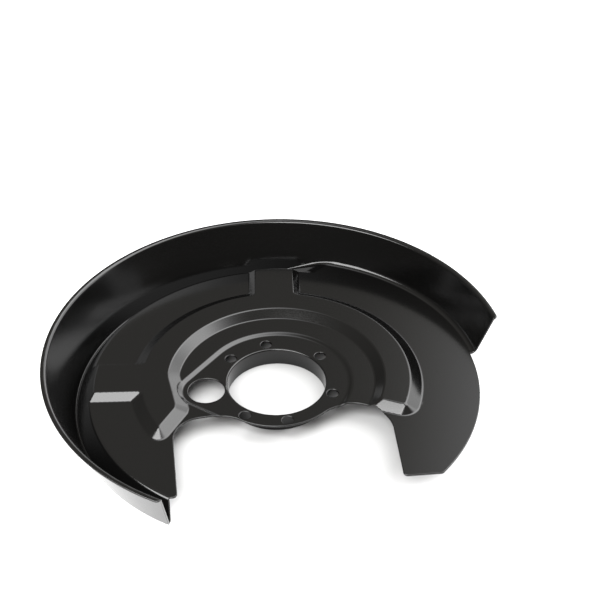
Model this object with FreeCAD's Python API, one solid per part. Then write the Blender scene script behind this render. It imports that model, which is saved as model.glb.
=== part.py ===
import FreeCAD, Part
import math
import os

# Rear brake dust shield, pressed from one steel sheet. Sizes are in millimetres.
# The origin is the centre of the hub bore, on the hub's upper face. +Z points out of the bowl,
# towards the wheel, -X points at the big round hole and -Y at the opening for the caliper.
# Radii and heights are those of the upper face, so the sheet lies below and outside them.

SHEET = 1.5

# Hub: collar, flange, bolts and the big hole
BORE_R = 34.5
COLLAR_DEPTH = 13.5
COLLAR_BEND = 2.0
BORE_TO_BOLTS = 6.7
BOLT_HOLE_R = 4.0
BOLT_ANGLES = [30.0, 90.0, 132.0, 228.0, 270.0, 330.0]
BOLTS_TO_HUB_SIDE = 9.5
BOLTS_TO_HUB_EDGE = 5.2
HUB_DROP = 1.4
HUB_SLOPE_RUN = 2.5
BIG_HOLE_R = 12.7
BIG_HOLE_INSET = 1.0
LOBE_BRIM = 3.9

# Raised ring with its two spokes
RING_RISE = 5.1
RING_IN_R = 75.8
RING_IN_RUN = 6.8
RING_OUT_R = 93.5
RING_OUT_RUN = 8.5
SPOKE_WIDTH = 29.5
SPOKE_RUN = 4.5
SPOKE_ANGLES = [80.3, 170.5]
RIGHT_END_XY = (72.5, -43.9)
RIGHT_END_ANGLE = 330.0
LEFT_END_XY = (-79.8, -28.2)
LEFT_END_ANGLE = 232.0
RING_END_RUN = 7.5
RING_CORNER_R = 10.0
SPOKE_CORNER_R = 6.0

# Rim, wall and gutter
RIM_R = 160.0
LIP_WIDTH = 3.5
LIP_FOLD = 1.0
WALL_HEIGHT = 29.5
WALL_LEAN = 21.8
WALL_START_ANGLE = 0.0
WALL_END_ANGLE = 240.0
WALL_FOOT_FOLD = 2.2
GUTTER_WIDTH = 13.7
GUTTER_SLOPE = 50.0
GUTTER_FOLD = 1.0
RAMP_START_ANGLE = 64.5
RAMP_SLOPE = 18.0
RAMP_SKEW = 30.0
RAMP_LEAD = 20.0
RAMP_SWEEP = 60.0

# Horns on both sides of the caliper gap
RIGHT_HORN_INSET = 2.9
RIGHT_HORN_END_ANGLE = 309.4
RIGHT_GAP_XY = (71.0, -34.1)
RIGHT_GAP_TILT = 6.6
RIGHT_GAP_CORNER_R = 27.0
LEFT_HORN_END_ANGLE = 228.25
LEFT_GAP_XY = (-77.0, -28.0)
LEFT_GAP_TILT = 3.9
LEFT_GAP_CORNER_R = 20.0
GUTTER_CUT_TILT = 5.0
GUTTER_CUT_REACH = 10.0
WALL_CUT_TILT = 14.5
OUTLINE_CORNER_R = 3.0

BOLT_CIRCLE_R = BORE_R + BORE_TO_BOLTS
HUB_R = BOLT_CIRCLE_R + BOLTS_TO_HUB_SIDE
HUB_EDGE_R = BOLT_CIRCLE_R + BOLTS_TO_HUB_EDGE
BIG_HOLE_X = BIG_HOLE_INSET - HUB_R
LOBE_R = BIG_HOLE_R + LOBE_BRIM
HUB_Z = 0.0
FLOOR_Z = HUB_Z + HUB_DROP
RING_Z = FLOOR_Z + RING_RISE
LIP_Z = FLOOR_Z + WALL_HEIGHT
WALL_TOP_R = RIM_R - LIP_WIDTH
WALL_FOOT_R = WALL_TOP_R - WALL_HEIGHT * math.tan(math.radians(WALL_LEAN))
FLOOR_EDGE_R = WALL_FOOT_R - GUTTER_WIDTH
HORN_R = WALL_FOOT_R - RIGHT_HORN_INSET
SKY_Z = LIP_Z + 10.0
DEEP_Z = HUB_Z - COLLAR_DEPTH - 10.0
FAR = 2 * RIM_R
SEARCH = 30.0
Z_AXIS = FreeCAD.Vector(0, 0, 1)
CENTRE = FreeCAD.Vector(0, 0, 0)


def polar(radius, angle, z=0.0):
    turn = math.radians(angle)
    return FreeCAD.Vector(radius * math.cos(turn), radius * math.sin(turn), z)


def rounded_wire(corners):
    """Closed wire through (point, radius) corners, each turned by a tangent arc of that radius."""
    edges = []
    starts = []
    ends = []
    count = len(corners)
    for i, (point, radius) in enumerate(corners):
        before = corners[i - 1][0] - point
        after = corners[(i + 1) % count][0] - point
        before.normalize()
        after.normalize()
        half = before.getAngle(after) / 2
        if radius <= 0:
            starts.append(point)
            ends.append(point)
            edges.append(None)
            continue
        reach = radius / math.tan(half)
        middle = before + after
        middle.normalize()
        nearest = point + middle * (radius / math.sin(half) - radius)
        starts.append(point + before * reach)
        ends.append(point + after * reach)
        edges.append(Part.Arc(starts[-1], nearest, ends[-1]).toShape())
    path = []
    for i in range(count):
        if edges[i]:
            path.append(edges[i])
        path.append(Part.LineSegment(ends[i], starts[(i + 1) % count]).toShape())
    return Part.Wire(path)


def turned(corners, start=0.0, sweep=360.0):
    """Solid turned about the Z axis from (radius, height) or (radius, height, bend) corners."""
    points = [(FreeCAD.Vector(r, 0, z), sum(bend)) for r, z, *bend in corners]
    face = Part.Face(rounded_wire(points))
    face.rotate(CENTRE, Z_AXIS, start)
    return face.revolve(CENTRE, Z_AXIS, sweep)


def slab_above(point, normal, size=900.0):
    """Everything above a plane, as a block that is large beside the part."""
    block = Part.makeBox(size, size, size, FreeCAD.Vector(-size / 2, -size / 2, 0))
    block.Placement = FreeCAD.Placement(point, FreeCAD.Rotation(Z_AXIS, normal))
    return block


def folded(before, corner, after, reach):
    """Two (radius, height) corners that blunt a sharp one, each at a reach from it."""
    corners = []
    for end in (before, after):
        out = end[0] - corner[0]
        up = end[1] - corner[1]
        share = reach / math.hypot(out, up)
        corners.append((corner[0] + out * share, corner[1] + up * share))
    return corners


def lowered(section, drop):
    """The same open section, moved square to itself by drop, down and outwards."""
    slopes = [math.atan2(z2 - z1, r2 - r1) for (r1, z1), (r2, z2) in zip(section, section[1:])]
    moved = []
    for i, (radius, height) in enumerate(section):
        before = slopes[max(i - 1, 0)]
        after = slopes[min(i, len(slopes) - 1)]
        middle = (before + after) / 2
        reach = drop / math.cos((after - before) / 2)
        moved.append((radius + reach * math.sin(middle), height - reach * math.cos(middle)))
    return moved


def bowl_space(drop):
    """Space above the floor, the wall and the lip, with the face set lower by drop."""
    middle = (0, FLOOR_Z)
    foot = (WALL_FOOT_R, FLOOR_Z)
    top = (WALL_TOP_R, LIP_Z)
    rim = (RIM_R + SHEET, LIP_Z)
    folds = [*folded(middle, foot, top, WALL_FOOT_FOLD), *folded(foot, top, rim, LIP_FOLD)]
    section = lowered([middle, *folds, rim], drop)
    return turned([*section, (RIM_R + SHEET, SKY_Z), (0, SKY_Z)])


def gutter_space(drop):
    """Space in the gutter between floor and wall, with the ramp that ends it."""
    lean = math.tan(math.radians(WALL_LEAN))
    fall = 1 / math.tan(math.radians(GUTTER_SLOPE))
    depth = GUTTER_WIDTH / (fall + lean)
    head = RING_RISE + 2 * SHEET
    inner = (FLOOR_EDGE_R - fall * head, FLOOR_Z + head)
    valley = (FLOOR_EDGE_R + fall * depth, FLOOR_Z - depth)
    outer = (WALL_FOOT_R + lean * head, FLOOR_Z + head)
    section = lowered([inner, *folded(inner, valley, outer, GUTTER_FOLD), outer], drop)
    ramp_from = RAMP_START_ANGLE - RAMP_LEAD
    rest_from = ramp_from + RAMP_SWEEP
    ramp = turned(section, ramp_from, RAMP_SWEEP)
    rest = turned(section, rest_from, WALL_END_ANGLE - rest_from)
    start = polar(WALL_FOOT_R, RAMP_START_ANGLE, FLOOR_Z)
    along = polar(1, RAMP_START_ANGLE + 90 - RAMP_SKEW)
    slope = math.radians(RAMP_SLOPE)
    normal = along * math.sin(slope) + Z_AXIS * math.cos(slope)
    return ramp.common(slab_above(start - normal * drop, normal)).fuse(rest).removeSplitter()


def step_corners(ring, first_angle, last_angle):
    """Sloping edges across the ring's outer step, between two angles and a little beyond."""
    corners = []
    for edge in ring.Edges:
        low, high = edge.Vertexes[0].Point, edge.Vertexes[-1].Point
        middle = (low + high) / 2
        reach = math.hypot(middle.x, middle.y)
        angle = math.degrees(math.atan2(middle.y, middle.x)) % 360
        on_step = RING_OUT_R - SHEET < reach < RING_OUT_R + RING_OUT_RUN + SHEET
        if on_step and abs(low.z - high.z) > RING_RISE / 2 and first_angle - SEARCH < angle < last_angle + SEARCH:
            corners.append(edge)
    return corners


def ring_form(drop):
    """The raised ring between its sloped ends, and the two spokes, set lower by drop."""
    top = RING_Z - drop
    base = FLOOR_Z - drop - SHEET
    extra = SHEET / RING_RISE
    inner = RING_IN_R + drop * math.tan(math.atan2(RING_RISE, RING_IN_RUN) / 2)
    outer = RING_OUT_R - drop * math.tan(math.atan2(RING_RISE, RING_OUT_RUN) / 2)
    ring = turned([
        (inner - RING_IN_RUN * (1 + extra), base),
        (outer + RING_OUT_RUN * (1 + extra), base),
        (outer, top),
        (inner, top),
    ])
    fall = math.atan2(RING_RISE, RING_END_RUN)
    beyond = []
    for place, angle, side in ((RIGHT_END_XY, RIGHT_END_ANGLE, -90), (LEFT_END_XY, LEFT_END_ANGLE, 90)):
        point = FreeCAD.Vector(place[0], place[1], RING_Z)
        away = polar(1, angle + side)
        normal = away * math.sin(fall) + Z_AXIS * math.cos(fall)
        beyond.append(slab_above(point - normal * drop, normal))
    ring = ring.cut(beyond[0].common(beyond[1]))
    half = SPOKE_WIDTH / 2 - drop * math.tan(math.atan2(RING_RISE, SPOKE_RUN) / 2)
    foot = half + SPOKE_RUN * (1 + extra)
    near = (RING_IN_R + RING_OUT_R) / 2
    for angle in SPOKE_ANGLES:
        section = [(-foot, base), (foot, base), (half, top), (-half, top), (-foot, base)]
        wire = Part.makePolygon([FreeCAD.Vector(near, y, z) for y, z in section])
        spoke = Part.Face(wire).extrude(FreeCAD.Vector(FLOOR_EDGE_R + 2 * SHEET - near, 0, 0))
        spoke.rotate(CENTRE, Z_AXIS, angle)
        ring = ring.fuse(spoke)
    ring = ring.removeSplitter()
    ring = ring.makeFillet(SPOKE_CORNER_R, step_corners(ring, min(SPOKE_ANGLES), max(SPOKE_ANGLES)))
    return ring.makeFillet(RING_CORNER_R, step_corners(ring, LEFT_END_ANGLE, RIGHT_END_ANGLE))


def hub_outline(grow, z):
    """The hub circle and the lobe round the big hole, joined by straight tangents."""
    hub = HUB_R + grow
    lobe = LOBE_R + grow
    turn = math.degrees(math.acos((hub - lobe) / abs(BIG_HOLE_X)))
    shift = FreeCAD.Vector(BIG_HOLE_X, 0, 0)
    hub_up = polar(hub, 180 - turn, z)
    hub_down = polar(hub, 180 + turn, z)
    lobe_up = polar(lobe, 180 - turn, z) + shift
    lobe_down = polar(lobe, 180 + turn, z) + shift
    return Part.Wire([
        Part.Arc(hub_down, polar(hub, 0, z), hub_up).toShape(),
        Part.LineSegment(hub_up, lobe_up).toShape(),
        Part.Arc(lobe_up, polar(lobe, 180, z) + shift, lobe_down).toShape(),
        Part.LineSegment(lobe_down, hub_down).toShape(),
    ])


def hub_space(drop):
    """Space above the sunken hub flange and its slope."""
    move = drop * math.tan(math.atan2(HUB_DROP, HUB_SLOPE_RUN) / 2)
    over = SHEET / HUB_DROP
    return Part.makeLoft([
        hub_outline(move, HUB_Z - drop),
        hub_outline(move + HUB_SLOPE_RUN * (1 + over), FLOOR_Z - drop + SHEET),
    ], True, True)


def space_above(drop):
    """All the space above the sheet's upper face, or above its lower face when drop is one sheet."""
    space = bowl_space(drop).fuse(hub_space(drop))
    space = space.cut(ring_form(drop))
    return space.fuse(gutter_space(drop))


def tall(face):
    """Block over a flat face that reaches past the whole sheet."""
    block = face.extrude(Z_AXIS * (SKY_Z - DEEP_Z))
    block.translate(Z_AXIS * DEEP_Z)
    return block


def flat_face(points):
    return Part.Face(Part.makePolygon([*points, points[0]]))


def disc(radius, start=0.0, end=360.0):
    """Flat face of a whole disc, or of its sector between two angles."""
    arc = Part.makeCircle(radius, CENTRE, Z_AXIS, start, end)
    if end - start >= 360:
        return Part.Face(Part.Wire(arc))
    sides = Part.makePolygon([polar(radius, end), CENTRE, polar(radius, start)])
    return Part.Face(Part.Wire([arc, *sides.Edges]))


def rounded_face(shape, radius):
    """The shape's largest face, with each outward corner rounded."""
    face = max(shape.Faces, key=lambda each: each.Area)
    return face.makeOffset2D(-radius).makeOffset2D(radius)


def downward(tilt):
    """Direction towards -Y, turned clockwise by tilt degrees."""
    return polar(1, 270 - tilt)


def gap_side(corner_xy, tilt, side, radius):
    """One side of the caliper gap: from its tilted edge, past its rounded corner, round the hub."""
    corner = FreeCAD.Vector(*corner_xy, 0)
    far_end = corner + downward(tilt) * FAR
    past_hub = -side * BORE_R
    points = [
        far_end,
        corner,
        FreeCAD.Vector(0, corner.y, 0),
        FreeCAD.Vector(past_hub, 0, 0),
        FreeCAD.Vector(past_hub, far_end.y, 0),
    ]
    return rounded_face(flat_face(points).cut(disc(HUB_EDGE_R)), radius)


def left_end():
    """What is trimmed off beyond the left horn, the gutter and the wall."""
    corner = polar(FLOOR_EDGE_R, LEFT_HORN_END_ANGLE)
    bend = corner + downward(GUTTER_CUT_TILT) * GUTTER_CUT_REACH
    far_end = bend + downward(WALL_CUT_TILT) * FAR
    return flat_face([corner, bend, far_end, FreeCAD.Vector(0, far_end.y, 0), FreeCAD.Vector(0, corner.y, 0)])


def right_end():
    """What is trimmed off below the right horn."""
    level = polar(HORN_R, RIGHT_HORN_END_ANGLE).y
    points = [(0, level), (FAR, level), (FAR, -FAR), (0, -FAR)]
    return flat_face([FreeCAD.Vector(x, y, 0) for x, y in points])


def outline():
    """Flat outline of the trimmed sheet, seen from above."""
    face = disc(HORN_R).fuse(disc(RIM_R, WALL_START_ANGLE, WALL_END_ANGLE)).removeSplitter()
    face = face.cut([
        gap_side(LEFT_GAP_XY, LEFT_GAP_TILT, -1, LEFT_GAP_CORNER_R),
        gap_side(RIGHT_GAP_XY, RIGHT_GAP_TILT, 1, RIGHT_GAP_CORNER_R),
        left_end(),
        right_end(),
    ])
    return rounded_face(face, OUTLINE_CORNER_R)


def collar():
    """The bore's collar, drawn down out of the flange with a rounded brim."""
    outer = BORE_R + SHEET
    brim = outer + COLLAR_BEND
    return turned([
        (BORE_R, HUB_Z, COLLAR_BEND),
        (BORE_R, HUB_Z - COLLAR_DEPTH, 0),
        (outer, HUB_Z - COLLAR_DEPTH, 0),
        (outer, HUB_Z - SHEET, 0),
        (brim, HUB_Z - SHEET, 0),
        (brim, HUB_Z, 0),
    ])


def pillar(x, y, radius):
    return Part.makeCylinder(radius, SKY_Z - DEEP_Z, FreeCAD.Vector(x, y, DEEP_Z))


def dust_shield():
    sheet = space_above(SHEET).cut(space_above(0.0))
    sheet = sheet.cut(pillar(0, 0, BORE_R + SHEET + COLLAR_BEND))
    sheet = sheet.fuse(collar())
    sheet = sheet.common(tall(outline()))
    for angle in BOLT_ANGLES:
        spot = polar(BOLT_CIRCLE_R, angle)
        sheet = sheet.cut(pillar(spot.x, spot.y, BOLT_HOLE_R))
    sheet = sheet.cut(pillar(BIG_HOLE_X, 0, BIG_HOLE_R))
    return sheet.removeSplitter()


os.makedirs("parts", exist_ok=True)
shield = dust_shield()
print("solids", len(shield.Solids), "valid", shield.isValid(), "volume", round(shield.Volume))
shield.Solids[0].exportStep("parts/dust_shield.step")
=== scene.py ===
import math

import bpy
import numpy as np
from bpy.props import FloatProperty, FloatVectorProperty, IntProperty, PointerProperty
from mathutils import Matrix, Vector
from mathutils.geometry import delaunay_2d_cdt


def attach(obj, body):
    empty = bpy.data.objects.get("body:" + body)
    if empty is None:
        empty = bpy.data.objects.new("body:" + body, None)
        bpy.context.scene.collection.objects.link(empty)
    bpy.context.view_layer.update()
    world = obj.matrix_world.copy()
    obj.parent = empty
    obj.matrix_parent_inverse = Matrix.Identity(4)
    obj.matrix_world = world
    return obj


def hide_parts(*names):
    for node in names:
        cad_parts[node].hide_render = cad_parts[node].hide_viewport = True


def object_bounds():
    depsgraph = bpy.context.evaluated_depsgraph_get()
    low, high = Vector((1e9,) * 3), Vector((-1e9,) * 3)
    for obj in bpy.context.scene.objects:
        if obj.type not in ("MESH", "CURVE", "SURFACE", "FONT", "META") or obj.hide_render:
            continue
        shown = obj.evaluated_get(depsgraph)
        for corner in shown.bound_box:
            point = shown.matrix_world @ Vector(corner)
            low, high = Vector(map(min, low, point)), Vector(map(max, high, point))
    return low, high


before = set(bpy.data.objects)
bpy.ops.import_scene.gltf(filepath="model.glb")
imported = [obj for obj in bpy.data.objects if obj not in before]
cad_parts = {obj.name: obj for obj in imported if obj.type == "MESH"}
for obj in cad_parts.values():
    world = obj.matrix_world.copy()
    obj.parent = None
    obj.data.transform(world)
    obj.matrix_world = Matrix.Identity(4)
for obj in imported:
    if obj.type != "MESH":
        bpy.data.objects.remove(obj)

bl_info = {
    "name": "Brake dust shield",
    "version": (1, 0, 0),
    "blender": (4, 5, 0),
    "location": "View3D > Sidebar > Dust shield",
    "description": "Builds the pressed sheet of a rear brake dust shield, its black coat and a plain stage",
    "category": "Object",
}

MM = 0.001
CAD_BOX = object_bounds()

BOLT_ANGLES = (30.0, 90.0, 132.0, 228.0, 270.0, 330.0)  # degrees from +X
NORMAL_STEP = 0.02  # mm, either side of a point
HALVINGS = 26  # search steps for a height
LOOP_GAP = 0.55  # mm between the edge loops and the mesh inside them
PEEL_SCALE = 900  # waves per metre of the coat's noise
PEEL_DEPTH = 0.0002  # m
BORE_PIXEL = (276.617, 380.820)  # bore's centre in the 600 x 600 frame
FRAME_PIXELS = 600
SENSOR_MM = 36
FLOOR_REACH = 6.0  # m
SOFTBOX_PLACE = (-0.335, -0.306, 0.45)  # m
SOFTBOX_SIZE = (0.60, 0.52)  # m
SOFTBOX_TURN = -math.radians(25)
WARM = (1.0, 0.965, 0.90, 1)  # colour of the light outside the bright panel
WHITE = (1, 1, 1, 1)


def length(label, note, millimetres):
    """Size property that is stored in metres."""
    return FloatProperty(name=label, description=note, default=millimetres * MM, unit="LENGTH", precision=5)


def angle(label, note, degrees):
    return FloatProperty(name=label, description=note, default=math.radians(degrees), subtype="ANGLE")


def amount(label, note, value, low=0.0, high=1.0):
    return FloatProperty(name=label, description=note, default=value, min=low, max=high)


def colour(label, note, value):
    return FloatVectorProperty(name=label, description=note, default=value, size=3, subtype="COLOR", min=0, max=1)


class ShieldSizes(bpy.types.PropertyGroup):
    """Sizes of the pressed sheet. Radii and heights are those of its upper face."""

    sheet: length("Sheet", "Thickness of the steel sheet", 1.5)
    bore_r: length("Bore radius", "Inside radius of the collar", 34.5)
    collar_depth: length("Collar depth", "How far the collar reaches below the hub flange", 13.5)
    collar_bend: length("Collar bend", "Bend radius at the top of the collar", 1.2)
    hub_r: length("Hub radius", "Radius of the sunken flange", 50.7)
    hub_drop: length("Hub drop", "Depth of the sunken flange below the floor", 1.4)
    hub_run: length("Hub slope", "Width of the slope round the flange", 2.5)
    hub_bend: length("Hub bend", "Bend radius round the flange", 3.6)
    bolt_circle_r: length("Bolt circle radius", "Radius on which the bolt holes lie", 41.2)
    bolt_hole_r: length("Bolt hole radius", "Radius of a bolt hole", 4.0)
    big_hole_x: length("Big hole distance", "Distance of the big hole from the bore's centre", 49.7)
    big_hole_r: length("Big hole radius", "Radius of the big hole", 12.7)
    lobe_r: length("Lobe radius", "Radius of the flange's lobe round the big hole", 16.6)
    ring_rise: length("Ring rise", "Height of the raised ring above the floor", 5.1)
    ring_in_r: length("Ring inner radius", "Inner radius of the ring's top", 75.8)
    ring_in_run: length("Ring inner slope", "Width of the ring's inner slope", 6.8)
    ring_chord: length("Ring chord", "Distance from the bore of the straight part of the inner edge", 73.8)
    chord_angle: angle("Chord direction", "Direction of the straight part of the inner edge", 183.0)
    chord_run: length("Chord slope", "Width of the slope along the straight part", 8.8)
    ring_out_r: length("Ring outer radius", "Outer radius of the ring's top", 93.5)
    ring_out_run: length("Ring outer slope", "Width of the ring's outer slope", 8.5)
    ring_end_run: length("Ring end slope", "Width of the slopes that end the ring", 7.5)
    ring_bend: length("Ring bend", "Bend radius along the ring and the spokes", 2.6)
    ring_corner_r: length("Ring corner", "Corner radius at the foot of the ring's ends, seen from above", 12.0)
    spoke_width: length("Spoke width", "Width of a spoke's top", 29.5)
    spoke_run: length("Spoke slope", "Width of a spoke's side slope", 4.5)
    spoke_corner_r: length("Spoke corner", "Radius where a spoke leaves the ring, seen from above", 6.0)
    top_spoke: angle("Top spoke", "Direction of the first spoke", 80.3)
    left_spoke: angle("Left spoke", "Direction of the second spoke", 170.5)
    rim_r: length("Rim radius", "Radius of the outer rim", 160.0)
    lip_width: length("Lip width", "Width of the flat lip on the wall", 3.5)
    lip_bend: length("Lip bend", "Bend radius between wall and lip", 2.4)
    wall_height: length("Wall height", "Height of the lip above the floor", 29.5)
    wall_lean: angle("Wall lean", "How far the wall leans outwards", 21.8)
    foot_bend: length("Foot bend", "Bend radius between floor and wall", 4.5)
    gutter_width: length("Gutter width", "Distance from the floor's edge to the wall's foot line", 13.7)
    gutter_slope: angle("Gutter slope", "Fall of the gutter's inner side", 50.0)
    gutter_bend: length("Gutter bend", "Bend radius at the floor's edge", 3.6)
    valley_bend: length("Valley bend", "Bend radius at the bottom of the gutter", 1.4)
    ramp_start: angle("Ramp start", "Where the gutter begins to leave the floor", 64.5)
    ramp_slope: angle("Ramp slope", "Fall of the ramp", 18.0)
    ramp_skew: angle("Ramp skew", "How far the ramp turns towards the rim", 30.0)
    ramp_lead: angle("Ramp lead", "How far before its start the ramp's plane is looked at", 20.0)
    ramp_sweep: angle("Ramp sweep", "Angle over which the ramp's plane is looked at", 60.0)
    gutter_sweep: angle("Gutter sweep", "Angle from the ramp's lead to beyond the gutter's end", 230.0)
    horn_inset: length("Horn inset", "How far the right horn's edge lies inside the wall's foot", 2.9)


class TrimSizes(bpy.types.PropertyGroup):
    """Places and angles of the trimmed outline, seen from above."""

    right_x: length("Right gap corner X", "Corner of the caliper gap on the right", 71.0)
    right_y: length("Right gap corner Y", "Corner of the caliper gap on the right", -34.1)
    right_tilt: angle("Right gap tilt", "Lean of the gap's right side", 6.6)
    right_r: length("Right gap radius", "Rounding of the gap's right corner", 27.0)
    left_x: length("Left gap corner X", "Corner of the caliper gap on the left", -77.0)
    left_y: length("Left gap corner Y", "Corner of the caliper gap on the left", -28.0)
    left_tilt: angle("Left gap tilt", "Lean of the gap's left side", 3.9)
    left_r: length("Left gap radius", "Rounding of the gap's left corner", 20.0)
    right_horn: angle("Right horn end", "Where the right horn's outer edge ends", 309.4)
    horn_tilt: angle("Right horn tilt", "Lean of the right horn's lower edge", 6.0)
    left_horn: angle("Left horn end", "Where the left horn meets the gutter", 228.25)
    gutter_tilt: angle("Gutter cut tilt", "Lean of the cut across the gutter", 5.0)
    gutter_reach: length("Gutter cut length", "Length of the cut across the gutter", 10.0)
    wall_tilt: angle("Wall cut tilt", "Lean of the cut across the wall", 14.5)
    hub_edge_r: length("Hub edge radius", "Radius of the hub's free edge in the gap", 46.4)
    corner_r: length("Outline corner", "Rounding of the outline's outer corners", 3.0)
    right_end_x: length("Right ring end X", "Point on the edge of the ring's right end", 72.5)
    right_end_y: length("Right ring end Y", "Point on the edge of the ring's right end", -43.9)
    right_end_angle: angle("Right ring end", "Direction of the ring's right end", 330.0)
    left_end_x: length("Left ring end X", "Point on the edge of the ring's left end", -79.8)
    left_end_y: length("Left ring end Y", "Point on the edge of the ring's left end", -28.2)
    left_end_angle: angle("Left ring end", "Direction of the ring's left end", 232.0)
    edge_round: length("Edge rounding", "How much the press and the coat round each cut edge", 0.55)
    edge_step: length("Edge spacing", "Distance between mesh points along an edge", 1.3)
    row_step: length("Row spacing", "Smallest distance between mesh rows", 0.5)
    columns: IntProperty(name="Columns", description="Mesh columns round the shield", default=704)


class CoatLook(bpy.types.PropertyGroup):
    """Colours and finish of the black coat."""

    black: colour("Coat colour", "Colour of the black coat", (0.0012, 0.0012, 0.0012))
    roughness: amount("Roughness", "Roughness of the coat", 0.14)
    peel: amount("Orange peel", "Strength of the coat's fine waves", 0.02)


class StageLook(bpy.types.PropertyGroup):
    """Floor, lights and camera."""

    floor: colour("Floor colour", "Colour of the pale floor", (0.38, 0.38, 0.38))
    floor_glow: amount("Floor glow", "Light that the floor gives off round the shield", 1.0, 0, 10)
    glow_start: length("Glow start", "Distance from the bore at which the floor begins to glow", 105.0)
    glow_full: length("Glow full", "Distance from the bore at which the floor glows fully", 150.0)
    front_power: amount("Front light", "Power of the soft light over the camera, in watts", 11.3, 0, 1000)
    turn: angle("Shield turn", "Turn of the shield on the floor, seen from above", 10.8)
    elevation: angle("Camera elevation", "Height of the camera above the floor, as an angle", 37.11)
    roll: angle("Camera roll", "Roll of the camera", 1.274)
    side_tilt: angle("Side tilt", "Sideways lean of the shield towards the camera", 0.853)
    distance: length("Camera distance", "Distance of the camera from the bore", 850.0)
    lens: FloatProperty(name="Lens", description="Focal length in millimetres", default=72.67)


def rounded_union(a, b, reach):
    """Air that is in either space, with the sheet's outward bend between them rounded."""
    corner = np.hypot(np.maximum(reach + a, 0), np.maximum(reach + b, 0))
    return corner - np.maximum(reach, np.minimum(-a, -b))


def rounded_overlap(a, b, reach):
    """Air that is in both spaces, with the sheet's inward bend between them rounded."""
    return -rounded_union(-a, -b, reach)


def bend(radius, fold):
    """Blend reach that gives a bend radius at a fold of that many radians."""
    return radius * (1 - math.cos(fold))


def box_of_mm(group):
    """The group's lengths in millimetres and its angles in radians, by name."""
    values = {}
    for name, prop in group.bl_rna.properties.items():
        if prop.type == "FLOAT" and not prop.is_array:
            value = getattr(group, name)
            values[name] = value / MM if prop.unit == "LENGTH" else value
    return values


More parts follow.
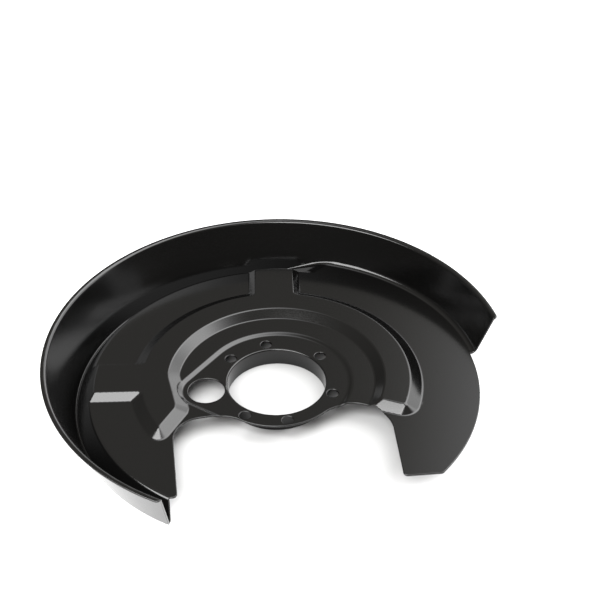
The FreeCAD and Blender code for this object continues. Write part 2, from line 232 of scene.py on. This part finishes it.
class SheetForm:
    """The pressed upper face as the limit between air and steel, in millimetres."""

    def __init__(self, sizes, trim):
        for name, value in {**box_of_mm(sizes), **box_of_mm(trim)}.items():
            setattr(self, name, value)
        self.floor_z = self.hub_drop
        self.ring_z = self.floor_z + self.ring_rise
        self.lip_z = self.floor_z + self.wall_height
        self.wall_top_r = self.rim_r - self.lip_width
        self.foot_r = self.wall_top_r - self.wall_height * math.tan(self.wall_lean)
        self.floor_r = self.foot_r - self.gutter_width
        self.horn_r = self.foot_r - self.horn_inset
        fall = 1 / math.tan(self.gutter_slope)
        depth = self.gutter_width / (fall + math.tan(self.wall_lean))
        self.valley_r = self.floor_r + fall * depth
        self.brim_r = self.bore_r + self.collar_bend
        self.collar_run = self.collar_depth - self.collar_bend + self.collar_bend * math.pi / 2
        self.radii = np.array([0, self.floor_r, self.valley_r, self.wall_top_r, self.rim_r + 40])
        slopes = [1, 1 / math.cos(self.gutter_slope), 1 / math.sin(self.wall_lean), 1]
        self.reaches = np.concatenate([[0], np.cumsum(np.diff(self.radii) * slopes)])

    def flat_of(self, radius):
        """Radius in the flat pattern for a radius of the pressed sheet."""
        return np.interp(radius, self.radii, self.reaches)

    def radius_of(self, flat):
        return np.interp(flat, self.reaches, self.radii)

    def bowl_side(self, r, z):
        """Air inside the wall or above the lip."""
        lean = self.wall_lean
        wall = (z - self.floor_z) * math.sin(lean) - (r - self.foot_r) * math.cos(lean)
        return rounded_union(wall, z - self.lip_z, bend(self.lip_bend, math.pi / 2 - lean))

    def trough(self, x, y, r, z):
        """Air over the gutter's inner side and its ramp."""
        steep = self.gutter_slope
        inner = (r - self.floor_r) * math.sin(steep) + (z - self.floor_z) * math.cos(steep)
        start = self.foot_r * np.array([math.cos(self.ramp_start), math.sin(self.ramp_start)])
        way = self.ramp_start + math.pi / 2 - self.ramp_skew
        along = (x - start[0]) * math.cos(way) + (y - start[1]) * math.sin(way)
        ramp = along * math.sin(self.ramp_slope) + (z - self.floor_z) * math.cos(self.ramp_slope)
        beyond = (np.arctan2(y, x) - self.ramp_start + self.ramp_lead) % (2 * math.pi)
        ramp = np.where(beyond > self.ramp_sweep, 50.0, ramp)
        ramp = np.where(beyond > self.gutter_sweep, -50.0, ramp)
        return rounded_overlap(inner, ramp, bend(self.gutter_bend, steep - self.ramp_slope))

    def raised(self, x, y, r, z):
        """Air round the raised ring and its spokes."""
        low = self.ring_z - z
        outer = r - self.ring_out_r - low * self.ring_out_run / self.ring_rise
        inner = self.ring_in_r - r - low * self.ring_in_run / self.ring_rise
        for px, py, turn, side in ((self.right_end_x, self.right_end_y, self.right_end_angle, -1),
                                   (self.left_end_x, self.left_end_y, self.left_end_angle, 1)):
            away = turn + side * math.pi / 2
            end = (x - px) * math.cos(away) + (y - py) * math.sin(away) - low * self.ring_end_run / self.ring_rise
            near = np.cos(np.arctan2(y, x) - turn) > 0.1
            corner = np.clip(low / self.ring_rise, 0.15, 1) * self.ring_corner_r
            outer = np.where(near, rounded_union(outer, end, corner), outer)
        chord = (self.ring_chord - x * math.cos(self.chord_angle) - y * math.sin(self.chord_angle)
                 - low * self.chord_run / self.ring_rise)
        inner = rounded_overlap(inner, chord, 1.0)
        ring = rounded_union(outer, inner, self.ring_bend)
        sides = ring
        for turn in (self.top_spoke, self.left_spoke):
            across = np.abs(y * math.cos(turn) - x * math.sin(turn))
            ahead = x * math.cos(turn) + y * math.sin(turn)
            spoke = across - self.spoke_width / 2 - low * self.spoke_run / self.ring_rise
            spoke = np.maximum(spoke, (self.ring_in_r + self.ring_out_r) / 2 - ahead)
            sides = rounded_overlap(sides, spoke, self.spoke_corner_r * 0.5)
        steep = math.atan2(self.ring_rise, self.ring_out_run)
        return rounded_union(z - self.ring_z, sides * math.sin(steep), bend(self.ring_bend, steep))

    def hub(self, x, y, r, z):
        """Air over the sunken flange with its lobe."""
        px = np.abs(y)
        py = -x
        lean = (self.hub_r - self.lobe_r) / self.big_hole_x
        up = math.sqrt(1 - lean * lean)
        along = px * -lean + py * up
        plan = np.where(along < 0, np.hypot(px, py) - self.hub_r,
                        np.where(along > up * self.big_hole_x, np.hypot(px, py - self.big_hole_x) - self.lobe_r,
                                 px * up + py * lean - self.hub_r))
        steep = math.atan2(self.hub_drop, self.hub_run)
        side = (np.minimum(z, self.floor_z + 0.3) * self.hub_run / self.hub_drop - plan) * math.sin(steep)
        return rounded_overlap(z, side, bend(self.hub_bend, steep))

    def air(self, x, y, z):
        """Above 0 in the air over the sheet, 0 on its upper face and below 0 in the steel."""
        r = np.hypot(x, y)
        steep = math.atan2(self.ring_rise, self.ring_out_run)
        floor = rounded_overlap(z - self.floor_z, self.raised(x, y, r, z),
                                bend(self.ring_bend, steep))
        floor = rounded_union(floor, self.trough(x, y, r, z),
                              bend(self.gutter_bend, self.gutter_slope))
        hub_steep = math.atan2(self.hub_drop, self.hub_run)
        floor = rounded_union(floor, self.hub(x, y, r, z), bend(self.hub_bend, hub_steep))
        foot = np.interp(z, (-4.0, self.floor_z + 2), (self.valley_bend, self.foot_bend))
        return rounded_overlap(floor, self.bowl_side(r, z), foot * (1 - math.sin(self.wall_lean)))

    def lifted(self, flat):
        """Points and normals of the upper face for (x, y) points of the flat pattern."""
        reach = np.hypot(flat[:, 0], flat[:, 1])
        way = flat / reach[:, None]
        r = self.radius_of(reach)
        x, y = way[:, 0] * r, way[:, 1] * r
        low = np.full(len(flat), -16.0)
        high = np.full(len(flat), self.lip_z + 6)
        for _ in range(HALVINGS):
            middle = (low + high) / 2
            steel = self.air(x, y, middle) < 0
            low = np.where(steel, middle, low)
            high = np.where(steel, high, middle)
        z = (low + high) / 2
        d = NORMAL_STEP
        normal = np.stack([
            self.air(x + d, y, z) - self.air(x - d, y, z),
            self.air(x, y + d, z) - self.air(x, y - d, z),
            self.air(x, y, z + d) - self.air(x, y, z - d),
        ], axis=1)
        normal /= np.linalg.norm(normal, axis=1)[:, None]
        place = np.stack([x, y, z], axis=1)
        # inside the brim the sheet turns down round the collar's bend
        into = self.brim_r - reach
        bore = into > 0
        turn = np.clip(into / self.collar_bend, 0, math.pi / 2)
        down = np.maximum(into - self.collar_bend * math.pi / 2, 0)
        ring = self.brim_r - self.collar_bend * np.sin(turn)
        drop = -self.collar_bend * (1 - np.cos(turn)) - down
        collar = np.stack([way[:, 0] * ring, way[:, 1] * ring, drop], axis=1)
        facing = np.stack([-way[:, 0] * np.sin(turn), -way[:, 1] * np.sin(turn), np.cos(turn)], axis=1)
        place[bore] = collar[bore]
        normal[bore] = facing[bore]
        return place, normal


class Edge:
    """One straight or round run of the outline, with the sheet on its left."""

    def __init__(self, point=None, way=None, radius=None):
        self.point = None if point is None else np.array(point, float)
        self.way = None if way is None else np.array([math.cos(way), math.sin(way)])
        self.radius = radius

    def moved_left(self, reach):
        if self.radius is not None:
            return Edge(radius=self.radius - reach)
        square = np.array([-self.way[1], self.way[0]])
        moved = Edge()
        moved.point = self.point + square * reach
        moved.way = self.way
        return moved

    def nearest(self, place):
        if self.radius is not None:
            return place / np.linalg.norm(place) * self.radius
        return self.point + self.way * ((place - self.point) @ self.way)


def meeting(first, second, near):
    """Where two edges cross, nearest to a point."""
    if first.radius is not None:
        first, second = second, first
    if second.radius is None:
        step = np.linalg.solve(np.stack([first.way, -second.way], axis=1), second.point - first.point)
        return first.point + first.way * step[0]
    middle = first.point @ first.way
    root = math.sqrt(max(middle ** 2 - first.point @ first.point + second.radius ** 2, 0))
    found = [first.point + first.way * (-middle + side * root) for side in (-1, 1)]
    return min(found, key=lambda each: np.linalg.norm(each - near))


def arc_points(centre, start, end, step, ccw):
    """Points along an arc from start to end, end left out."""
    a = math.atan2(*(start - centre)[::-1])
    b = math.atan2(*(end - centre)[::-1])
    sweep = (b - a) % (2 * math.pi) if ccw else -((a - b) % (2 * math.pi))
    radius = np.linalg.norm(start - centre)
    count = max(3, math.ceil(abs(sweep) * radius / step))
    turns = a + sweep * np.arange(count) / count
    return centre + radius * np.stack([np.cos(turns), np.sin(turns)], axis=1)


def trimmed_outline(form, step):
    """Points along the sheet's trimmed outline, seen from above, with the sheet on the left."""
    down_left = 1.5 * math.pi - form.left_tilt
    down_right = 1.5 * math.pi - form.right_tilt
    horn = form.floor_r * np.array([math.cos(form.left_horn), math.sin(form.left_horn)])
    cut = 1.5 * math.pi - form.gutter_tilt
    fold = horn + form.gutter_reach * np.array([math.cos(cut), math.sin(cut)])
    level = form.horn_r * math.sin(form.right_horn)
    wall_cut = 1.5 * math.pi - form.wall_tilt
    small = form.corner_r
    runs = [
        (Edge((form.horn_r, 0), 0), (form.rim_r, 0), small),
        (Edge(radius=form.rim_r), fold * 1.2, small),
        (Edge(fold, wall_cut + math.pi), fold, small),
        (Edge(horn, cut + math.pi), horn, 0),
        (Edge(horn, 0), (form.left_x, horn[1]), small),
        (Edge((form.left_x, form.left_y), down_left + math.pi), (form.left_x, form.left_y), -form.left_r),
        (Edge((form.left_x, form.left_y), 0), (-form.hub_edge_r, form.left_y), -form.left_r),
        (Edge(radius=form.hub_edge_r), (form.hub_edge_r, form.right_y), -form.right_r),
        (Edge((form.right_x, form.right_y), 0), (form.right_x, form.right_y), -form.right_r),
        (Edge((form.right_x, form.right_y), down_right), (form.right_x, level), small),
        (Edge((form.right_x, level), -form.horn_tilt), (form.horn_r * 0.65, level), small),
        (Edge(radius=form.horn_r), (form.horn_r, 0), 0),
    ]
    corners = []
    for i, (edge, near, radius) in enumerate(runs):
        after = runs[(i + 1) % len(runs)][0]
        near = np.array(near, float)
        if radius == 0:
            spot = meeting(edge, after, near)
            corners.append((spot, spot, spot, 0))
            continue
        centre = meeting(edge.moved_left(radius), after.moved_left(radius), near)
        corners.append((edge.nearest(centre), centre, after.nearest(centre), radius))
    points = []
    for i, (edge, near, radius) in enumerate(runs):
        start = corners[i - 1][2]
        leave, centre, arrive, turn = corners[i]
        if edge.radius is None:
            count = max(1, round(np.linalg.norm(leave - start) / step))
            points.extend(start + (leave - start) * np.arange(count)[:, None] / count)
        else:
            points.extend(arc_points(np.zeros(2), start, leave, step, True))
        if turn:
            points.extend(arc_points(centre, leave, arrive, min(step, abs(turn) / 4), turn > 0))
    return np.array(points)


def hole_points(x, y, radius, step):
    """Points round a hole, with the sheet on the left."""
    count = max(24, round(2 * math.pi * radius / step))
    turns = -2 * math.pi * np.arange(count) / count
    return np.stack([x + radius * np.cos(turns), y + radius * np.sin(turns)], axis=1)


def moved_inside(loop, reach):
    """The same loop, moved to its left by reach."""
    along = np.roll(loop, -1, axis=0) - np.roll(loop, 1, axis=0)
    along /= np.linalg.norm(along, axis=1)[:, None]
    return loop + reach * np.stack([-along[:, 1], along[:, 0]], axis=1)


def inside(loop, points):
    """Which points lie inside a closed loop."""
    held = np.zeros(len(points), bool)
    x, y = points[:, 0], points[:, 1]
    for (ax, ay), (bx, by) in zip(loop, np.roll(loop, -1, axis=0)):
        if ay == by:
            continue
        over = (ay > y) != (by > y)
        held ^= over & (x < (bx - ax) * (y - ay) / (by - ay) + ax)
    return held


def mesh_rows(form, columns, row_step):
    """Points of the flat pattern, close together across bends and far apart on flat ground."""
    inner = form.brim_r - form.collar_run
    outer = float(form.flat_of(form.rim_r))
    rows = int((outer - inner) / row_step)
    reach = np.linspace(inner, outer, rows + 1)
    turn = 2 * math.pi * np.arange(columns) / columns
    flat = np.stack([np.outer(reach, np.cos(turn)), np.outer(reach, np.sin(turn))], axis=2)
    place, normal = form.lifted(flat.reshape(-1, 2))
    normal = normal.reshape(rows + 1, columns, 3)
    across = np.zeros((rows + 1, columns))
    step = np.linalg.norm(np.diff(normal, axis=0), axis=2) / (reach[1] - reach[0])
    across[1:] = step
    across[:-1] = np.maximum(across[:-1], step)
    round_step = np.linalg.norm(normal - np.roll(normal, 1, axis=1), axis=2)
    around = np.maximum(round_step, np.roll(round_step, -1, axis=1)) / (2 * math.pi * reach[:, None] / columns)
    skew = around > 2.5 / np.maximum(reach[:, None], 40)
    bent = across > 0.02
    for mask, spread in ((bent, 3), (skew, 5)):
        for _ in range(spread):
            wide = mask.copy()
            wide[1:] |= mask[:-1]
            wide[:-1] |= mask[1:]
            if mask is skew:
                wide |= np.roll(mask, 1, axis=1) | np.roll(mask, -1, axis=1)
            mask[:] = wide
    i, j = np.meshgrid(np.arange(rows + 1), np.arange(columns), indexing="ij")
    row_level = np.where(bent | skew, 1, 8)
    zone = np.broadcast_to(reach[:, None], bent.shape)
    column_level = np.select([skew, zone < 62, zone < 115], [1, 8, 4], 2)
    kept = (i % row_level == 0) & (j % column_level == 0)
    halfway = skew & np.roll(skew, -1, axis=1) & (reach[:, None] > 60)
    turned = math.pi / columns
    spin = np.array([[math.cos(turned), math.sin(turned)], [-math.sin(turned), math.cos(turned)]])
    return np.concatenate([flat[kept], flat[halfway] @ spin])


def far_from(points, marks, gap):
    """Which points keep a gap from all marks, both in the flat pattern."""
    kept = np.ones(len(points), bool)
    for start in range(0, len(marks), 400):
        part = marks[start:start + 400]
        away = ((points[:, None, :] - part[None]) ** 2).sum(2).min(1)
        kept &= away > gap * gap
    return kept


def flat_pattern(form, trim):
    """Points, triangles and border loops of the sheet's flat pattern."""
    step = trim.edge_step / MM
    outline = trimmed_outline(form, step)
    loops = [outline]
    for turn in BOLT_ANGLES:
        spot = math.radians(turn)
        x, y = form.bolt_circle_r * math.cos(spot), form.bolt_circle_r * math.sin(spot)
        loops.append(hole_points(x, y, form.bolt_hole_r, 0.8))
    loops.append(hole_points(-form.big_hole_x, 0, form.big_hole_r, 1.0))
    edge = form.edge_round
    borders = []
    rims = []
    for loop in loops:
        for reach, store in ((0, borders), (edge, rims)):
            moved = moved_inside(loop, reach) if reach else loop
            r = np.linalg.norm(moved, axis=1)
            store.append(moved / r[:, None] * form.flat_of(r)[:, None])
    bore = form.brim_r - form.collar_run
    borders.append(hole_points(0, 0, bore, 0.9))
    rims.append(hole_points(0, 0, bore + edge, 0.9))
    marks = np.concatenate(borders + rims)
    filling = mesh_rows(form, trim.columns, trim.row_step / MM)
    filling = filling[inside(borders[0], filling)]
    for hole in borders[1:]:
        filling = filling[~inside(hole, filling)]
    filling = filling[far_from(filling, marks, LOOP_GAP)]
    points = np.concatenate([*borders, *rims, filling])
    edges = []
    start = 0
    for loop in borders + rims:
        edges.extend((start + i, start + (i + 1) % len(loop)) for i in range(len(loop)))
        start += len(loop)
    found = delaunay_2d_cdt([Vector(p) for p in points.tolist()], edges, [], 0, 1e-7)
    flat = np.array([list(v) for v in found[0]])
    faces = np.array(found[2])
    middle = flat[faces].mean(axis=1)
    held = inside(borders[0], middle)
    for hole in borders[1:]:
        held &= ~inside(hole, middle)
    faces = faces[held]
    a, b, c = (flat[faces[:, k]] for k in range(3))
    area = (b[:, 0] - a[:, 0]) * (c[:, 1] - a[:, 1]) - (b[:, 1] - a[:, 1]) * (c[:, 0] - a[:, 0])
    faces[area < 0] = faces[area < 0][:, ::-1]
    faces = faces[np.abs(area) > 1e-9]
    return flat, faces


def border_edges(faces):
    """Directed edges that only one triangle uses, with the sheet on their left."""
    used = {}
    for a, b, c in faces.tolist():
        for edge in ((a, b), (b, c), (c, a)):
            used[edge] = True
    return [edge for edge in used if (edge[1], edge[0]) not in used]


def pressed_sheet(form, trim):
    """Vertices, triangles and normals of the whole sheet, in millimetres."""
    flat, faces = flat_pattern(form, trim)
    upper, normal = form.lifted(flat)
    lower = upper - normal * form.sheet
    edges = border_edges(faces)
    rim = sorted({i for edge in edges for i in edge})
    out = np.zeros_like(upper)
    for a, b in edges:
        along = upper[b] - upper[a]
        side = np.cross(along, normal[a])
        out[a] += side
        out[b] += side
    out[rim] /= np.linalg.norm(out[rim], axis=1)[:, None]
    edge = form.edge_round
    side_top = upper[rim] - normal[rim] * edge
    side_low = lower[rim] + normal[rim] * edge
    half = edge * (1 - math.sqrt(0.5))
    top_normal = normal.copy()
    low_normal = -normal
    upper[rim] -= (normal[rim] + out[rim]) * half
    lower[rim] += (normal[rim] - out[rim]) * half
    top_normal[rim] = (normal[rim] + out[rim]) * math.sqrt(0.5)
    low_normal[rim] = (out[rim] - normal[rim]) * math.sqrt(0.5)
    count = len(upper)
    place = {vertex: i for i, vertex in enumerate(rim)}
    sides = []
    for a, b in edges:
        left = [a, 2 * count + place[a], 2 * count + len(rim) + place[a], a + count]
        right = [b, 2 * count + place[b], 2 * count + len(rim) + place[b], b + count]
        for i in range(3):
            sides.append((left[i], left[i + 1], right[i + 1]))
            sides.append((left[i], right[i + 1], right[i]))
    used = np.unique(faces)
    every = np.concatenate([faces, faces[:, ::-1] + count, np.array(sides)])
    points = np.concatenate([upper, lower, side_top, side_low])
    normals = np.concatenate([top_normal, low_normal, out[rim], out[rim]])
    renumber = np.full(len(points), -1)
    kept = np.concatenate([used, used + count, np.arange(2 * count, len(points))])
    renumber[kept] = np.arange(len(kept))
    return points[kept], renumber[every], normals[kept]


def new_piece(name, points, faces, normals, material):
    """Mesh object in metres with the given vertex normals."""
    mesh = bpy.data.meshes.new(name)
    mesh.vertices.add(len(points))
    mesh.vertices.foreach_set("co", (points * MM).ravel())
    mesh.loops.add(len(faces) * 3)
    mesh.loops.foreach_set("vertex_index", faces.ravel().astype(np.int32))
    mesh.polygons.add(len(faces))
    mesh.polygons.foreach_set("loop_start", np.arange(0, len(faces) * 3, 3, dtype=np.int32))
    mesh.update(calc_edges=True)
    mesh.validate()
    mesh.polygons.foreach_set("use_smooth", np.ones(len(mesh.polygons), bool))
    mesh.normals_split_custom_set_from_vertices(normals.tolist())
    mesh.materials.append(material)
    piece = bpy.data.objects.new(name, mesh)
    bpy.context.scene.collection.objects.link(piece)
    return piece


def black_coat(look):
    """Semi-gloss black coat over steel."""
    material = bpy.data.materials.new("black_coat")
    material.use_nodes = True
    nodes = material.node_tree.nodes
    links = material.node_tree.links
    shader = nodes["Principled BSDF"]
    shader.inputs["Base Color"].default_value = (*look.black, 1)
    shader.inputs["Roughness"].default_value = look.roughness
    place = nodes.new("ShaderNodeTexCoord")
    noise = nodes.new("ShaderNodeTexNoise")
    noise.inputs["Scale"].default_value = PEEL_SCALE
    noise.inputs["Detail"].default_value = 3
    links.new(place.outputs["Object"], noise.inputs["Vector"])
    bump = nodes.new("ShaderNodeBump")
    bump.inputs["Strength"].default_value = look.peel
    bump.inputs["Distance"].default_value = PEEL_DEPTH
    links.new(noise.outputs["Fac"], bump.inputs["Height"])
    links.new(bump.outputs["Normal"], shader.inputs["Normal"])
    return material


class SHIELD_OT_sheet(bpy.types.Operator):
    """Builds the pressed sheet with its rounded bends in place of the plain model"""

    bl_idname = "shield.sheet"
    bl_label = "Pressed sheet"

    def execute(self, context):
        scene = context.scene
        form = SheetForm(scene.shield_sizes, scene.shield_trim)
        points, faces, normals = pressed_sheet(form, scene.shield_trim)
        if not len(faces):
            raise RuntimeError("the pressed sheet came out empty")
        piece = new_piece("pressed_sheet", points, faces, normals, black_coat(scene.shield_coat))
        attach(piece, "root")
        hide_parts("dust_shield")
        return {"FINISHED"}


def camera_matrix(look):
    """Camera placed as the photograph shows the shield, which itself stays unturned."""
    e, roll, tilt, turn = look.elevation, look.roll, look.side_tilt, look.turn
    to_view = (
        Matrix.Rotation(roll, 3, "Z")
        @ Matrix(((1, 0, 0), (0, math.sin(e), math.cos(e)), (0, -math.cos(e), math.sin(e))))
        @ Matrix.Rotation(tilt, 3, "Y")
        @ Matrix.Rotation(turn, 3, "Z")
    )
    focal = look.lens / SENSOR_MM * FRAME_PIXELS
    across = (BORE_PIXEL[0] - FRAME_PIXELS / 2) / focal
    down = (BORE_PIXEL[1] - FRAME_PIXELS / 2) / focal
    shift = Vector((across, -down, -1)) * look.distance
    turned = to_view.transposed()
    place = -(turned @ shift)
    return Matrix.Translation(place) @ turned.to_4x4()


def soft_light(name, place, turn, size, power):
    """Soft rectangular light that shines straight down."""
    data = bpy.data.lights.new(name, "AREA")
    data.shape = "RECTANGLE"
    data.size, data.size_y = size
    data.energy = power
    lamp = bpy.data.objects.new(name, data)
    bpy.context.scene.collection.objects.link(lamp)
    lamp.location = place
    lamp.rotation_euler = (0, 0, turn)
    lamp.visible_camera = False
    return lamp


def studio_light(scene, look):
    """Soft surrounding light with one large soft panel overhead on the right.

    The ramps below read the direction that the light comes from: x to the right, y away
    from the camera and z up. They fade the panel out to the left, towards the camera and
    straight ahead at the far side, and dim it near the horizon.
    """
    world = bpy.data.worlds.new("studio")
    scene.world = world
    world.use_nodes = True
    nodes = world.node_tree.nodes
    links = world.node_tree.links
    place = nodes.new("ShaderNodeTexCoord")
    split = nodes.new("ShaderNodeSeparateXYZ")
    links.new(place.outputs["Generated"], split.inputs[0])

    def sum_of(kind, *values):
        node = nodes.new("ShaderNodeMath")
        node.operation = kind
        for socket, value in zip(node.inputs, values):
            if isinstance(value, (int, float)):
                socket.default_value = value
            else:
                links.new(value, socket)
        return node.outputs[0]

    def ramp(value, start, end, low, high):
        node = nodes.new("ShaderNodeMapRange")
        node.interpolation_type = "SMOOTHSTEP"
        links.new(value, node.inputs["Value"])
        for name, number in (("From Min", start), ("From Max", end), ("To Min", low), ("To Max", high)):
            node.inputs[name].default_value = number
        return node.outputs["Result"]

    degree = math.radians(1)
    x, y, z = (split.outputs[axis] for axis in "XYZ")
    heading = sum_of("ADD", sum_of("ARCTAN2", x, y), ramp(z, 0.30, 0.55, 12 * degree, 0))
    panel = sum_of("MULTIPLY", ramp(x, -0.35, 0.35, 0, 1), ramp(y, -0.36, -0.02, 0, 1))
    far = sum_of("MULTIPLY", ramp(y, 0.2, 0.6, 0, 1), ramp(heading, 14 * degree, 45 * degree, 1, 0))
    panel = sum_of("MULTIPLY", panel, sum_of("SUBTRACT", 1.0, far))
    panel = sum_of("MULTIPLY", panel, ramp(z, 0.44, 0.69, 3.0, 6.3))
    level = sum_of("ADD", panel, ramp(z, 0.05, 0.9, 0.13, 0.45))
    tint = nodes.new("ShaderNodeMix")
    tint.data_type = "RGBA"
    tint.inputs[6].default_value = WARM
    tint.inputs[7].default_value = WHITE
    links.new(panel, tint.inputs[0])
    background = nodes["Background"]
    links.new(tint.outputs[2], background.inputs["Color"])
    links.new(level, background.inputs["Strength"])


class SHIELD_OT_stage(bpy.types.Operator):
    """Builds the pale floor, the soft lights and the camera"""

    bl_idname = "shield.stage"
    bl_label = "Stage"

    def execute(self, context):
        scene = context.scene
        look = scene.shield_stage
        low = CAD_BOX[0].z
        mesh = bpy.data.meshes.new("floor")
        reach = FLOOR_REACH
        corners = [(-reach, -reach, low), (reach, -reach, low), (reach, reach, low), (-reach, reach, low)]
        mesh.from_pydata(corners, [], [(0, 1, 2, 3)])
        floor = bpy.data.objects.new("floor", mesh)
        scene.collection.objects.link(floor)
        material = bpy.data.materials.new("pale_floor")
        material.use_nodes = True
        shader = material.node_tree.nodes["Principled BSDF"]
        shader.inputs["Base Color"].default_value = (*look.floor, 1)
        shader.inputs["Roughness"].default_value = 0.9
        shader.inputs["Emission Color"].default_value = (1, 1, 1, 1)
        nodes = material.node_tree.nodes
        links = material.node_tree.links
        # Painted light: the floor gives off no light within glow_start of the bore and glows up to floor_glow by
        # glow_full, so the floor round the shield is lit by its own glow while the shade under the sheet stays.
        place = nodes.new("ShaderNodeTexCoord")
        away = nodes.new("ShaderNodeVectorMath")
        away.operation = "LENGTH"
        links.new(place.outputs["Object"], away.inputs[0])
        glow = nodes.new("ShaderNodeMapRange")
        glow.interpolation_type = "SMOOTHSTEP"
        for name, number in (("From Min", look.glow_start), ("From Max", look.glow_full),
                             ("To Min", 0.0), ("To Max", look.floor_glow)):
            glow.inputs[name].default_value = number
        links.new(away.outputs["Value"], glow.inputs["Value"])
        links.new(glow.outputs["Result"], shader.inputs["Emission Strength"])
        mesh.materials.append(material)
        studio_light(scene, look)
        soft_light("front_softbox", SOFTBOX_PLACE, SOFTBOX_TURN, SOFTBOX_SIZE, look.front_power)
        scene.view_settings.view_transform = "Standard"
        data = bpy.data.cameras.new("camera")
        data.lens = look.lens
        data.sensor_width = SENSOR_MM
        data.clip_start, data.clip_end = 0.05, 50
        camera = bpy.data.objects.new("camera", data)
        scene.collection.objects.link(camera)
        camera.matrix_world = camera_matrix(look)
        scene.camera = camera
        return {"FINISHED"}


class SHIELD_PT_panel(bpy.types.Panel):
    """Lists the steps that build the dust shield"""

    bl_idname = "SHIELD_PT_panel"
    bl_label = "Dust shield"
    bl_space_type = "VIEW_3D"
    bl_region_type = "UI"
    bl_category = "Dust shield"

    def draw(self, context):
        for step in STEPS:
            self.layout.operator(step.bl_idname)
        for name in GROUPS:
            box = self.layout.box()
            group = getattr(context.scene, name)
            for prop in group.bl_rna.properties:
                if not prop.is_readonly and prop.identifier != "name":
                    box.prop(group, prop.identifier)


STEPS = [SHIELD_OT_stage, SHIELD_OT_sheet]
GROUPS = {
    "shield_sizes": ShieldSizes,
    "shield_trim": TrimSizes,
    "shield_coat": CoatLook,
    "shield_stage": StageLook,
}


def register():
    for each in (*GROUPS.values(), *STEPS, SHIELD_PT_panel):
        bpy.utils.register_class(each)
    for name, group in GROUPS.items():
        setattr(bpy.types.Scene, name, PointerProperty(type=group))


def unregister():
    for name in GROUPS:
        delattr(bpy.types.Scene, name)
    for each in (SHIELD_PT_panel, *STEPS, *GROUPS.values()):
        bpy.utils.unregister_class(each)


def main():
    register()
    bpy.ops.shield.stage()
    bpy.ops.shield.sheet()


if __name__ == "__main__":
    main()
